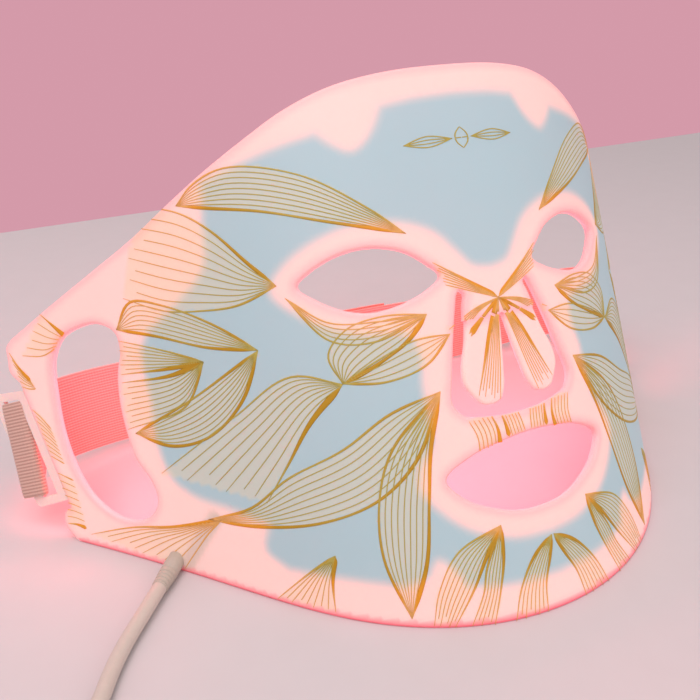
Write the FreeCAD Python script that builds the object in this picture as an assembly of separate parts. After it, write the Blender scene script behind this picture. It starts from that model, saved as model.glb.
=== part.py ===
"""Flexible LED face mask: silicone laminate, flex circuit, straps and supply cord. Millimetres."""
import FreeCAD, Part
import math
import os
from FreeCAD import Vector as V

os.makedirs("parts", exist_ok=True)
V2 = FreeCAD.Base.Vector2d

# ---- driving dimensions -------------------------------------------------------------
CURVATURE = 0.00924        # of the face section, one over the front radius
BEND_END = 99.5            # arc length at which the front radius fades out
BEND_FADE = 11.0           # how gradually it fades
FLARE = 0.00125            # slight outward curvature of the side wings
CONE = 0.00102             # growth of the section per mm of height
CONE_V = 23.0              # height at which the section has its nominal size
LEAN = math.atan(0.485)    # backward lean of the mask standing on its lower edge
FOOT = 60.0                # height of the mask's datum above the lower edge at the chin
SKIN = 1.2                 # front cover thickness
LINER_IN = 2.4             # start of the rear liner, measured in from the front face
LINER_OUT = 3.2            # back face of the rear liner
CIRCUIT = (1.30, 1.50)     # flex circuit
CHIP_TOP = 2.15            # top of the small components
LED_PITCH = 15.5
LED = (2.0, 1.4)
EDGE_U = 186.0             # flat half width at the strap tabs
TAB_U = 202.0              # outer edge of the strap tabs
TAB = (0.6, 2.8)
ELASTIC = 1.2
ELASTIC_W = 38.0
CORD_R = 2.6
GLAND_R = 3.3
COIL_R = 28.5
COIL_C = (-163.5, -31.5)
COIL_Z = 1.4
PRINT = 0.12               # thickness of the gold print
INNER_LIFT = 0.4          # inner layers stop this far above the table
SOLDER = 0.04             # height of the solder under the components
STRAP_GAP = 1.0             # gap between a strap and its loop
HINGE_GAP = 0.5            # half of the gap at the root of a nose leg

WIDE = 206.0
V_LOW, V_HIGH = -80.0, 140.0
ORIGIN_Y = 0.6 * math.cos(LEAN) + (0.6 * math.tan(LEAN) - FOOT) * math.sin(LEAN)


# ---- the bent surface -----------------------------------------------------------------
def heading(s):
    """Direction of the section at arc length s, in radians."""
    a = abs(s)
    g = a - BEND_FADE * math.log((1 + math.exp((a - BEND_END) / BEND_FADE)) / (1 + math.exp(-BEND_END / BEND_FADE)))
    return math.copysign((CURVATURE + FLARE) * g - FLARE * a, s)


def section_table(step=0.5):
    xs, ys = [0.0], [0.0]
    for i in range(int(WIDE / step) + 2):
        h = heading((i + 0.5) * step)
        xs.append(xs[-1] + step * math.cos(h))
        ys.append(ys[-1] + step * math.sin(h))
    return step, xs, ys


STEP, XS, YS = section_table()


def section(s):
    a = abs(s) / STEP
    i = min(int(a), len(XS) - 2)
    t = a - i
    x = XS[i] * (1 - t) + XS[i + 1] * t
    y = YS[i] * (1 - t) + YS[i + 1] * t
    return math.copysign(x, s), y


def world(x, y, z):
    """From the mask's own frame to the standing frame."""
    c, n = math.cos(LEAN), math.sin(LEAN)
    return V(x, y * c + z * n - ORIGIN_Y, (z + FOOT) * c - y * n)


def turn(x, y, z):
    c, n = math.cos(LEAN), math.sin(LEAN)
    return V(x, y * c + z * n, z * c - y * n)


def at(s, v, d=0.0):
    """Point at arc length s, height v, depth d behind the front face."""
    x, y = section(s)
    h = heading(s)
    f = 1 + CONE * (v - CONE_V)
    return world(x * f - d * math.sin(h), y * f + d * math.cos(h), v)


def frame_at(s):
    """Tangent (outward along s), inward normal and generator directions."""
    h = heading(s)
    k = 1 if s >= 0 else -1
    return turn(k * math.cos(h), k * math.sin(h), 0), turn(-math.sin(h), math.cos(h), 0), turn(0, 0, 1)


def foot_v(s):
    """Height on the mask where the surface meets the table."""
    y = section(s)[1]
    m = math.tan(LEAN)
    return (m * y * (1 - CONE * CONE_V) - FOOT) / (1 - m * y * CONE)


SURFACES = {}


def surface(d):
    if d in SURFACES:
        return SURFACES[d]
    n = 26
    ss = [WIDE * i / n for i in range(-n, n + 1)]
    low = Part.BSplineCurve()
    low.interpolate(Points=[at(s, V_LOW, d) for s in ss], Parameters=ss)
    high = Part.BSplineCurve()
    high.interpolate(Points=[at(s, V_HIGH, d) for s in ss], Parameters=ss)
    made = Part.BSplineSurface()
    poles = [list(pair) for pair in zip(low.getPoles(), high.getPoles())]
    made.buildFromPolesMultsKnots(poles, low.getMultiplicities(), [2, 2], low.getKnots(), [V_LOW, V_HIGH],
                                  False, False, low.Degree, 1)
    SURFACES[d] = made
    return made


# ---- outlines on the surface -------------------------------------------------------------
def area(points):
    return 0.5 * sum(a[0] * b[1] - b[0] * a[1] for a, b in zip(points, points[1:] + points[:1]))


def run_curve(points, ring):
    if len(points) == 2:
        return Part.Geom2d.Line2dSegment(V2(*points[0]), V2(*points[1]))
    curve = Part.Geom2d.BSplineCurve2d()
    if ring:
        curve.interpolate(Points=[V2(*p) for p in points], PeriodicFlag=True)
    else:
        curve.interpolate(Points=[V2(*p) for p in points])
    return curve


def outline(loop, srf, forward):
    """A loop is a list of runs; a single run closes smoothly on itself."""
    if (area([p for r in loop for p in r]) > 0) != forward:
        loop = [r[::-1] for r in loop[::-1]]
    edges = [run_curve(r, len(loop) == 1).toShape(srf) for r in loop]
    return Part.Wire(edges), edges


def solid_of(faces):
    shell = Part.makeShell(faces)
    shell.sewShape()
    made = Part.Solid(shell)
    if made.Volume < 0:
        made.reverse()
    return made


def sheet(outer, holes, d0, d1):
    """Bent sheet between two depths, with holes."""
    caps, rims = [], []
    for d in (d0, d1):
        srf = surface(d)
        wire, edges = outline(outer, srf, True)
        face = Part.Face(srf, wire)
        for hole in holes:
            wire, more = outline(hole, srf, False)
            face = Part.Face(face, wire)
            edges = edges + more
        caps.append(face)
        rims.append(edges)
    sides = [Part.makeRuledSurface(a, b) for a, b in zip(*rims)]
    return solid_of(caps + sides)


def flip(loop):
    return [[(-s, v) for s, v in run[::-1]] for run in loop[::-1]]


def both(half):
    """Closed loop from right-hand runs that start and end on the mid-line."""
    return half + flip(half)


def polygon(points):
    return [[a, b] for a, b in zip(points, points[1:] + points[:1])]


def inside(p, points):
    hit = False
    for a, b in zip(points, points[1:] + points[:1]):
        if (a[1] > p[1]) != (b[1] > p[1]) and p[0] < a[0] + (p[1] - a[1]) * (b[0] - a[0]) / (b[1] - a[1]):
            hit = not hit
    return hit


def clearance(p, points):
    best = 1e9
    for a, b in zip(points, points[1:] + points[:1]):
        lx, ly = b[0] - a[0], b[1] - a[1]
        size = lx * lx + ly * ly
        t = 0.0 if size == 0 else max(0.0, min(1.0, ((p[0] - a[0]) * lx + (p[1] - a[1]) * ly) / size))
        best = min(best, math.hypot(p[0] - a[0] - t * lx, p[1] - a[1] - t * ly))
    return best


EYE = [(18.5, 57.3), (22.5, 62.5), (29, 67.8), (39, 71), (48.7, 70.7), (58, 67.8), (63.6, 64),
       (59, 58.6), (51.7, 53.4), (43, 50.5), (33, 51), (24, 53.6)]
MOUTH = [(33.5, -8.4), (22, -2.6), (10, -0.6), (0, 0), (-10, -0.6), (-22, -2.6), (-33.5, -8.4),
         (-29, -15.5), (-20, -21), (-10, -24.4), (0, -25.2), (10, -24.4), (20, -21), (29, -15.5)]
SLOT = [(159, 68.5), (149.5, 70.6), (141.5, 70), (135.6, 65.5), (136, 58.5), (140.5, 51), (144.2, 41), (146.2, 30),
        (146.6, 18.5), (143.6, 10), (144, 2.6), (149.5, -2.8), (158, -4), (167.5, 0.3), (173.6, 8.5),
        (176, 19), (175.4, 33), (172, 47), (166.6, 61.5)]
NOSE_HALF = [[(0, 41), (14.4, 41)], [(14.4, 41), (13.2, 46), (12.0, 49.8), (13.2, 51.0), (14.6, 49.6)],
             [(14.6, 49.6), (18, 39.5), (22.3, 25), (24.6, 15), (21.6, 10.6), (15.6, 8.8)], [(15.6, 8.8), (7, 7.6), (0, 7.4)]]
CENTRE_HALF = [[(0, 57), (6.5, 58.5), (11, 64), (17, 71.5), (27, 77), (40, 79.2), (54, 77), (66, 71.5), (72.3, 64.6),
                (66, 55.5), (54, 46.8), (42, 42.8), (34, 41), (31, 34), (33, 24), (34, 13), (35, 4), (40, -1),
                (43, -8.5), (38, -18), (28, -27), (14, -32.5), (0, -34)]]
CIRCUIT_HALF = [[(0, 116.3), (14, 116)], [(14, 116), (24, 115)], [(24, 115), (29.6, 106.5), (35.8, 102.6), (41, 106), (45, 110.6)],
                [(45, 110.6), (60, 109), (83, 105)], [(83, 105), (86.5, 94), (92, 78), (104, 70), (120, 63)],
                [(120, 63), (126, 57), (130, 39), (134, 23), (133, 9), (126, 2), (113, -4), (99, -11.5)],
                [(99, -11.5), (103.6, -20), (97, -27.6)], [(97, -27.6), (79, -32.6), (57, -39)],
                [(57, -39), (48.5, -37.6), (43.6, -32.8), (39, -37), (36.5, -43)], [(36.5, -43), (22, -46.6), (0, -48)]]


def mask_edge(low=6.0):
    """Outer outline; the lower edge runs below the table and is trimmed flat afterwards."""
    top = [(0, 126.3), (20, 126.2), (37, 124.7), (52, 120.8), (67, 114.7), (82, 108.6), (97.5, 102.2), (115, 95.2),
           (135, 88.9), (160, 81), (182, 73.4)]
    side = [[(182, 73.4), (185.6, 71), (187, 66.6)], [(187, 66.6), (188.6, 61), (EDGE_U, 56)],
            [(EDGE_U, 56), (EDGE_U, 5)], [(EDGE_U, 5), (190.4, 3), (192.2, -2), (190, -8), (185, foot_v(185) - low)]]
    foot = [(s, foot_v(s) - low) for s in (185, 165, 140, 115, 90, 60, 30, 0)]
    half = [top] + side + [foot]
    return both(half)


def flat_points(loop):
    """A loop's runs as one dense polygon."""
    out = []
    for run in loop:
        curve = run_curve(run, False)
        a, b = curve.FirstParameter, curve.LastParameter
        for i in range(8):
            p = curve.value(a + (b - a) * i / 8)
            out.append((p.x, p.y))
    return out


def openings():
    return [[EYE], flip([EYE]), [MOUTH], [SLOT], flip([SLOT]), both(NOSE_HALF)]


# ---- trimming tools ----------------------------------------------------------------------
def below_table(top=0.0):
    return Part.makeBox(600, 600, 60, V(-300, -300, top - 60))


def gland_axis():
    """Middle of the cord gland at the lower edge, and the cord's outward direction."""
    foot = at(-147.0, foot_v(-147.0), 0.0)
    return V(foot.x, foot.y, GLAND_R + 0.25), V(-0.62, -0.785, 0).normalize()


def gland_bore():
    p, d = gland_axis()
    return Part.makeCylinder(GLAND_R, 40, p - d * 20, d)


# ---- laminate ------------------------------------------------------------------------------
def front_cover():
    made = sheet(mask_edge(), openings(), 0.0, SKIN)
    return made.cut(below_table()).cut(gland_bore())


def rear_liner():
    made = sheet(mask_edge(), openings(), LINER_IN, LINER_OUT)
    return made.cut(below_table(INNER_LIFT)).cut(gland_bore())


def pocket_outline():
    return both([[(s * 1.006, v + (0.8 if v > 30 else -0.8)) for s, v in r] for r in CIRCUIT_HALF])


def island_outline():
    return both([[(s * 0.985, v + (-0.7 if v > 15 else 0.7)) for s, v in r] for r in CENTRE_HALF])


def bonding_frame():
    outer = sheet(mask_edge(), [pocket_outline(), [SLOT], flip([SLOT])], SKIN, LINER_IN)
    island = sheet(island_outline(), [[EYE], flip([EYE]), [MOUTH], both(NOSE_HALF)], SKIN, LINER_IN)
    return [outer.cut(below_table(INNER_LIFT)).cut(gland_bore()), island]


def flex_circuit():
    return sheet(both(CIRCUIT_HALF), [both(CENTRE_HALF)], CIRCUIT[0], CIRCUIT[1])


# ---- components on the circuit ---------------------------------------------------------------
def brick(s, v, w, h, d0, d1):
    t, n, g = frame_at(s)
    c = at(s, v, d0)
    corner = c - t * (w / 2) - g * (h / 2)
    loop = [corner, corner + t * w, corner + t * w + g * h, corner + g * h]
    face = Part.Face(Part.makePolygon(loop + loop[:1]))
    return face.extrude(n * (d1 - d0))


def led_sites():
    rim = flat_points(both(CIRCUIT_HALF))
    hole = flat_points(both(CENTRE_HALF))
    sites = []
    rows = int(170 / LED_PITCH) + 1
    cols = int(140 / LED_PITCH) + 1
    for j in range(rows):
        v = -44 + j * LED_PITCH
        for i in range(-cols, cols + 1):
            p = (i * LED_PITCH, v)
            if inside(p, rim) and not inside(p, hole) and min(clearance(p, rim), clearance(p, hole)) > 4.5:
                sites.append(p)
    return sites


def leds_red():
    return [brick(s - 1.7, v, LED[0], LED[1], CIRCUIT[1] + SOLDER, CHIP_TOP) for s, v in led_sites()]


def leds_infrared():
    return [brick(s + 1.7, v, LED[0], LED[1], CIRCUIT[1] + SOLDER, CHIP_TOP) for s, v in led_sites()]


def resistors():
    return [brick(s, v - 3.0, 1.0, 0.5, CIRCUIT[1] + SOLDER, 1.85) for s, v in led_sites()[::3]]


def driver_chips():
    return [brick(s, 94.0, 4.0, 4.0, CIRCUIT[1] + SOLDER, 2.1) for s in (-54.0, 54.0)]


def terminal_pads():
    return [brick(-118.0 + 2.4 * i, 3.2 + 0.9 * i, 1.3, 2.6, CIRCUIT[1] + SOLDER, 1.7) for i in range(4)]


def stiffener():
    return sheet(polygon([(-126.5, 4.6), (-106, -3.4), (-104, 1.4), (-124.5, 10)]), [], SKIN, CIRCUIT[0])


# ---- nose flaps ------------------------------------------------------------------------------
def nose_leg(side):
    top = 41.0 - 2 * HINGE_GAP
    loop = [[(0.6, top), (13.6, top)], [(13.6, top), (15.6, 34), (18.8, 25.6), (19.2, 20.4), (17, 15.8)],
            [(17, 15.8), (14.6, 13), (11.6, 12.1), (8.6, 12.4), (6.6, 13.6)],
            [(6.6, 13.6), (4.9, 17), (3.1, 25.3), (1.6, 34), (0.6, top)]]
    return sheet(loop if side > 0 else flip(loop), [], 0.0, LINER_OUT)


def nose_axis():
    a = at(0, 41.0 - HINGE_GAP, LINER_OUT / 2)
    return a


# ---- gold print ------------------------------------------------------------------------------
SPINES = [((24, 73.5), (94, 101), 4.0, 2.2), ((68, 66), (122, 95), 6.0, 2.4), ((82, 47), (134, 74), -3.0, 2.6),
          ((82, 47), (130, 15), 3.0, 2.6), ((103, 47), (134, 60), 1.0, 2.6), ((103, 47), (136, 36), 1.0, 2.6),
          ((26, 46), (96, -2), 7.0, 2.6), ((28, 20.5), (57, -48), 5.0, 2.6), ((29, 20), (124, -6), -7.0, 2.6),
          ((38, 37), (60, 30), 1.5, 2.0), ((78, -24), (101, -35), 0.6, 2.4), ((78, -24), (84, -42), 0.6, 2.4),
          ((19, -27), (45, -50), 3.0, 2.4), ((19, -27), (31, -54), -1.0, 2.2), ((0.8, -36), (19, -55), 1.0, 2.2),
          ((0.8, -36), (8, -57), -0.6, 2.2), ((18, 60.5), (2.6, 48.6), 0.8, 1.4), ((2.6, 44.4), (9.4, 41.6), 0.3, 1.2),
          ((140, -6.8), (182, 0), -1.5, 2.2), ((179, 28), (182, 8), 0.6, 2.0), ((178, 60), (184, 50), 0.4, 2.0)]


def blade(p, q, bow, w):
    """Slim leaf spine from p to q, bowed sideways, widest in the middle."""
    lx, ly = q[0] - p[0], q[1] - p[1]
    size = math.hypot(lx, ly)
    nx, ny = -ly / size, lx / size
    ups, downs = [], []
    for t in (0, 0.25, 0.5, 0.75, 1):
        b = bow * 4 * t * (1 - t)
        k = w / 2 * (4 * t * (1 - t)) ** 0.7 if 0 < t < 1 else 0.0
        x, y = p[0] + lx * t, p[1] + ly * t
        ups.append((x + nx * (b + k), y + ny * (b + k)))
        downs.append((x + nx * (b - k), y + ny * (b - k)))
    return [ups, downs[::-1]]


def gold_print():
    made = []
    for p, q, bow, w in SPINES:
        loop = blade(p, q, bow, w)
        made.append(sheet(loop, [], -PRINT, 0.0))
        made.append(sheet(flip(loop), [], -PRINT, 0.0))
    return made


# ---- strap tabs, loops and straps --------------------------------------------------------------
def strap_tab(side):
    rim = [[(EDGE_U, 53), (EDGE_U, 8)], [(EDGE_U, 8), (TAB_U - 2, 7)], [(TAB_U - 2, 7), (TAB_U - 0.6, 7.6), (TAB_U, 9)],
           [(TAB_U, 9), (TAB_U, 52)], [(TAB_U, 52), (TAB_U - 0.6, 53.4), (TAB_U - 2, 54)], [(TAB_U - 2, 54), (EDGE_U, 53)]]
    slot = polygon([(190, 11), (197.4, 10.6), (197.4, 50.4), (190, 50)])
    if side < 0:
        rim, slot = flip(rim), flip(slot)
    return sheet(rim, [slot], TAB[0], TAB[1])


def tab_bar(side):
    """Middle of the tab's outer bar with its directions."""
    s = side * 199.7
    t, n, g = frame_at(s)
    return at(s, 30.5, (TAB[0] + TAB[1]) / 2), t, n, g


def bar_space(side):
    """Room that the tab's outer bar takes inside the loop, following the bent sheet."""
    outline_points = [(side * s, v) for s, v in ((197.2, 5), (202.2, 5), (202.2, 56), (197.2, 56))]
    return sheet(polygon(outline_points if side > 0 else outline_points[::-1]), [], TAB[0] - 0.1, TAB[1] + 0.1)


def rounded(c, a, b, ha, hb, r):
    """Rounded rectangle wire around c in the plane of unit vectors a and b."""
    k = r * (1 - math.sqrt(0.5))
    edges = []
    ring = [(1, 1), (-1, 1), (-1, -1), (1, -1)]
    for i, (sa, sb) in enumerate(ring):
        p = c + a * (sa * ha) + b * (sb * (hb - r))
        m = c + a * (sa * (ha - k)) + b * (sb * (hb - k))
        q = c + a * (sa * (ha - r)) + b * (sb * hb)
        edges.append(Part.Arc(p, m, q).toShape() if i % 2 == 0 else Part.Arc(q, m, p).toShape())
    links = []
    ends = [(e.Vertexes[0].Point, e.Vertexes[-1].Point) for e in edges]
    for i in range(4):
        p, q = ends[i][1], ends[(i + 1) % 4][0]
        links.append(Part.LineSegment(p, q).toShape())
    return Part.Wire(Part.__sortEdges__(edges + links))


def strap_loop(side):
    c, t, n, g = tab_bar(side)
    base = c - g * (ELASTIC_W / 2)
    outer = Part.Face(rounded(base, t, n, 2.3 + 0.35 + ELASTIC, 1.1 + 0.35 + ELASTIC, 2.2)).extrude(g * ELASTIC_W)
    inner = Part.Face(rounded(base, t, n, 2.3 + 0.35, 1.1 + 0.35, 1.0)).extrude(g * ELASTIC_W)
    ring = outer.cut(inner).cut(bar_space(side))
    low, high, out = stub_edges(side)
    lo0 = base + n * (1.1 + 0.35 + ELASTIC) - t * 1.8
    hi0 = lo0 + g * ELASTIC_W
    stub = ribbon([(lo0, hi0, t), ((lo0 * 0.5 + low * 0.5), (hi0 * 0.5 + high * 0.5), (t + out) * 0.5), (low, high, out)],
                  0.0, ELASTIC)
    return [ring, stub]


def strap_line(side, x):
    """Plan position of a strap's inner face; the left one lies outside the right one."""
    a, y0 = strap_root(side)
    bulge = 33.4 if side < 0 else 30.0
    return V(x, y0 + bulge * (1 - (x / a) ** 2), 0)


def strap_root(side):
    c, t, n, g = tab_bar(1)
    return abs(c.x) - 8.0, c.y + 13.0


def strap_height(side, x):
    a, y0 = strap_root(side)
    c = tab_bar(1)[0]
    k = max(0.0, min(1.0, (a - abs(x)) / 90.0))
    k = k * k * (3 - 2 * k)
    return (c.z - ELASTIC_W / 2) * (1 - k) + 0.8 * k


def strap_station(side, x):
    p = strap_line(side, x)
    q = strap_line(side, x + 0.5)
    d = (q - p).normalize()
    out = V(-d.y, d.x, 0)
    z = strap_height(side, x)
    return V(p.x, p.y, z), V(p.x, p.y, z + ELASTIC_W), out


def stub_edges(side):
    a, y0 = strap_root(side)
    low, high, out = strap_station(side, side * a)
    return low, high, out


def ribbon(stations, d0, d1):
    """Ruled band through (lower point, upper point, outward direction) stations."""
    sheets = []
    for d in (d0, d1):
        low = Part.BSplineCurve()
        low.interpolate(Points=[p + o * d for p, q, o in stations])
        high = Part.BSplineCurve()
        high.interpolate(Points=[q + o * d for p, q, o in stations])
        sheets.append((low.toShape(), high.toShape()))
    (a, b), (c, d) = sheets
    faces = [Part.makeRuledSurface(a, b), Part.makeRuledSurface(c, d), Part.makeRuledSurface(a, c),
             Part.makeRuledSurface(b, d)]
    for i in (0, 1):
        ends = [e.valueAt(e.FirstParameter if i == 0 else e.LastParameter) for e in (a, b, c, d)]
        e1 = Part.LineSegment(ends[0], ends[1]).toShape()
        e2 = Part.LineSegment(ends[2], ends[3]).toShape()
        faces.append(Part.makeRuledSurface(e1, e2))
    return solid_of(faces)


def strap(side):
    a = strap_root(side)[0]
    far = -36.0 if side > 0 else 36.0
    near = side * (a - STRAP_GAP)
    xs = [near + (far - near) * i / 12 for i in range(13)]
    return ribbon([strap_station(side, x) for x in xs], 0.0, ELASTIC)


def patch(side):
    xs = [-28.0 + 56.0 * i / 6 for i in range(7)]
    stations = [strap_station(side, x) for x in xs]
    stations = [(p + V(0, 0, 4), q - V(0, 0, 4), o) for p, q, o in stations]
    if side > 0:
        return ribbon(stations, ELASTIC, ELASTIC + 0.8)
    return ribbon(stations, -0.8, 0.0)


def strap_axis(side):
    a, y0 = strap_root(side)
    low, high, out = strap_station(side, side * a)
    return low + out * (ELASTIC / 2)


# ---- cable entry -----------------------------------------------------------------------------
def rounded_path(points, share=0.45):
    """Wire of straight runs with tangent arcs, and the arc radii."""
    shapes, radii = [], []
    start = points[0]
    for a, b, c in zip(points, points[1:], points[2:]):
        u = (b - a).normalize()
        w = (c - b).normalize()
        half = u.getAngle(w) / 2
        short = min((b - a).Length, (c - b).Length)
        cut = share * short
        r = cut / math.tan(half)
        p, q = b - u * cut, b + w * cut
        centre_dir = (w - u).normalize()
        mid = b + centre_dir * (r / math.cos(half) - r)
        shapes.append(Part.LineSegment(start, p).toShape())
        shapes.append(Part.Arc(p, mid, q).toShape())
        radii.append(r)
        start = q
    shapes.append(Part.LineSegment(start, points[-1]).toShape())
    return Part.Wire(shapes), radii


def tube(points, r):
    path, radii = rounded_path(points)
    first = (points[1] - points[0]).normalize()
    profile = Part.Wire([Part.makeCircle(r, points[0], first)])
    made = path.makePipeShell([profile], True, False, 1)
    return made, path.Length, radii


def lead_points():
    p, d = gland_axis()
    back = p - d * 9.0
    up = (at(-121.0, -7.0) - at(-147.0, -27.0)).normalize()
    return [p - d * 3.9, back, back + up * 30.0]


def lead_sleeve():
    return tube(lead_points(), 1.9)[0]


def cable_boss():
    ring = [(-157, -12), (-150, -6), (-138, 0), (-124, 4.5), (-115, 2), (-113, -6), (-118, -15), (-124, -24),
            (-128, -40), (-140, -42), (-152, -40), (-159, -30), (-160, -20)]
    body = sheet([ring], [], LINER_OUT, 11.0).cut(below_table(INNER_LIFT))
    return body.cut(gland_bore()).cut(tube(lead_points(), 1.9)[0])


def cable_gland():
    p, d = gland_axis()
    a = p - d * 3.9
    core = Part.makeCylinder(GLAND_R, 10.4, a, d)
    nose = Part.makeCone(GLAND_R, CORD_R + 0.25, 7.5, a + d * 10.4, d)
    bore = Part.makeCylinder(CORD_R, 6.0, a + d * 11.9, d)
    return core.fuse(nose).cut(bore)


def cord_route():
    p, d = gland_axis()
    z = CORD_R + 0.25
    start = p + d * 8.0
    s = V(start.x, start.y, p.z)
    return [s, s + d * 13.0, V(-140.6, 46.6, z), V(-150.6, 27.4, z), V(-168.0, 6.5, z), V(-184.5, -6.5, z),
            V(-193.6, -22.5, z)]


def tail_route():
    z = CORD_R + 0.25
    return [V(-165.0, -62.8, 9.0), V(-149.5, -69.5, 6.0), V(-140.5, -83.0, z), V(-141.0, -99.0, z + 0.75)]


def cord_coil():
    c = V(COIL_C[0], COIL_C[1], COIL_Z)
    wide, tall = 2 * CORD_R, 6 * CORD_R
    ring = Part.makeCylinder(COIL_R + wide, tall, c).cut(Part.makeCylinder(COIL_R - wide, tall, c))
    edges = [e for e in ring.Edges if isinstance(e.Curve, Part.Circle)]
    return ring.makeFillet(2.3, edges)


def cord_tube():
    coil = cord_coil()
    lead, long1, radii1 = tube(cord_route(), CORD_R)
    tail, long2, radii2 = tube(tail_route(), CORD_R)
    print("cord arc radii mm:", [round(r, 1) for r in radii1 + radii2])
    print("cord lengths mm:", round(long1, 1), round(long2, 1))
    print("tube volume against section x length:", round(lead.Volume / (math.pi * CORD_R ** 2 * long1), 3),
          round(tail.Volume / (math.pi * CORD_R ** 2 * long2), 3))
    return [lead.cut(coil), tail.cut(coil)]


def cord_tie():
    tall, wide = 6 * CORD_R, 4 * CORD_R
    x0 = COIL_C[0] + COIL_R - wide / 2
    block = Part.makeBox(wide + 2.4, 8.0, tall + 2.4, V(x0 - 1.2, COIL_C[1] - 4, COIL_Z - 1.2))
    hollow = Part.makeBox(wide + 0.2, 8.0, tall + 0.2, V(x0 - 0.1, COIL_C[1] - 4, COIL_Z - 0.1))
    return block.cut(hollow).cut(cord_coil())


def plug_frame():
    pts = tail_route()
    run = pts[-1] - pts[-2]
    d = V(run.x, run.y, 0).normalize()
    return pts[-1], d, V(-d.y, d.x, 0)


def slab(length0, length1, half_w, half_h, r, z):
    p, d, side = plug_frame()
    c = V(p.x, p.y, z) + d * length0
    return Part.Face(rounded(c, side, V(0, 0, 1), half_w, half_h, r)).extrude(d * (length1 - length0))


def plug_overmould():
    p, d, side = plug_frame()
    body = slab(7.0, 29.0, 6.0, 3.3, 2.6, 3.6)
    neck = Part.makeCone(CORD_R + 0.5, 3.3, 10.0, p - d * 3.0, d)
    return body.fuse(neck).cut(cord_tube()[-1]).cut(slab(26.0, 29.0, 4.15, 1.25, 1.2, 3.6))


def plug_shell():
    return slab(26.0, 35.5, 4.15, 1.25, 1.2, 3.6).cut(slab(27.0, 35.5, 3.8, 0.95, 0.9, 3.6))


def plug_tongue():
    return slab(27.0, 34.6, 3.2, 0.35, 0.2, 3.6)


# ---- output ------------------------------------------------------------------------------------
def save(name, made):
    shape = Part.makeCompound(made) if isinstance(made, list) else made
    parts = made if isinstance(made, list) else [made]
    ok = all(m.isValid() for m in parts)
    box = shape.BoundBox
    print("%-18s solids %3d ok %s vol %9.1f z %6.1f..%6.1f" % (name, len(shape.Solids), ok,
                                                           sum(m.Volume for m in shape.Solids), box.ZMin, box.ZMax))
    shape.exportStep("parts/%s.step" % name)


def main():
    save("front_cover", front_cover())
    save("rear_liner", rear_liner())
    save("bonding_frame", bonding_frame())
    save("flex_circuit", flex_circuit())
    save("leds_red", leds_red())
    save("leds_infrared", leds_infrared())
    save("resistors", resistors())
    save("driver_chips", driver_chips())
    save("terminal_pads", terminal_pads())
    save("stiffener", stiffener())
    save("gold_print", gold_print())
    save("nose_leg_left", nose_leg(-1))
    save("nose_leg_right", nose_leg(1))
    for side, word in ((-1, "left"), (1, "right")):
        save("strap_tab_" + word, strap_tab(side))
        save("strap_loop_" + word, strap_loop(side))
        save("strap_" + word, strap(side))
        axis = strap_axis(side)
        print("axis strap", word, [round(c, 2) for c in axis])
    save("hook_patch", patch(-1))
    save("loop_patch", patch(1))
    save("cable_boss", cable_boss())
    save("cable_gland", cable_gland())
    save("lead_sleeve", lead_sleeve())
    save("cord_tube", cord_tube())
    save("cord_coil", cord_coil())
    save("cord_tie", cord_tie())
    save("plug_overmould", plug_overmould())
    save("plug_shell", plug_shell())
    save("plug_tongue", plug_tongue())
    print("axis nose", [round(c, 2) for c in nose_axis()])


main()
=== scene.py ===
import math
import bpy
import numpy as np
from mathutils import Matrix, Vector, kdtree
from mathutils.geometry import delaunay_2d_cdt


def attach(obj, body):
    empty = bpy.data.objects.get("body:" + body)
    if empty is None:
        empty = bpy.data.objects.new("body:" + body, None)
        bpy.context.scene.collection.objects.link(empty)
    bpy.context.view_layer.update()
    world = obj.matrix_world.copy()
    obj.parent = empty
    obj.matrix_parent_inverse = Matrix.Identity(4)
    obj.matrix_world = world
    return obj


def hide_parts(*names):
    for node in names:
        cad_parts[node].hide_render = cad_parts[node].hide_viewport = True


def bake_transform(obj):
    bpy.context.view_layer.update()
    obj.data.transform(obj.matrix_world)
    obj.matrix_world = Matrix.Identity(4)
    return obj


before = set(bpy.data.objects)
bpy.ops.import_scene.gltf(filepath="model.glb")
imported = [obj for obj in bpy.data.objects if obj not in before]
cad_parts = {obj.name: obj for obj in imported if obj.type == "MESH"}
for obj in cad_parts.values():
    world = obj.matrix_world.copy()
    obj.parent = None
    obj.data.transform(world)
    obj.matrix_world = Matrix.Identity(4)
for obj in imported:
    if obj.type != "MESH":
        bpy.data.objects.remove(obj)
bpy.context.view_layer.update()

MM = 0.001

# ---- the bent sheet, in mm: s along the sheet, v up it, d behind its front face ----------
CURVATURE, BEND_END, BEND_FADE, FLARE = 0.00924, 99.5, 11.0, 0.00125
CONE, CONE_V = 0.00102, 23.0
LEAN = math.atan(0.485)
FOOT = 60.0
THICK = 3.2
ORIGIN_Y = 0.6 * math.cos(LEAN) + (0.6 * math.tan(LEAN) - FOOT) * math.sin(LEAN)
EDGE_U, TAB_U = 186.0, 202.0


def heading(s):
    a = np.abs(s)
    fade = (1 + np.exp((a - BEND_END) / BEND_FADE)) / (1 + math.exp(-BEND_END / BEND_FADE))
    g = a - BEND_FADE * np.log(fade)
    return np.sign(s) * ((CURVATURE + FLARE) * g - FLARE * a)


TABLE_S = np.arange(0, 210, 0.5)
TABLE_H = heading(TABLE_S + 0.25)
TABLE_X = np.concatenate([[0], np.cumsum(0.5 * np.cos(TABLE_H))])[:-1]
TABLE_Y = np.concatenate([[0], np.cumsum(0.5 * np.sin(TABLE_H))])[:-1]


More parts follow.
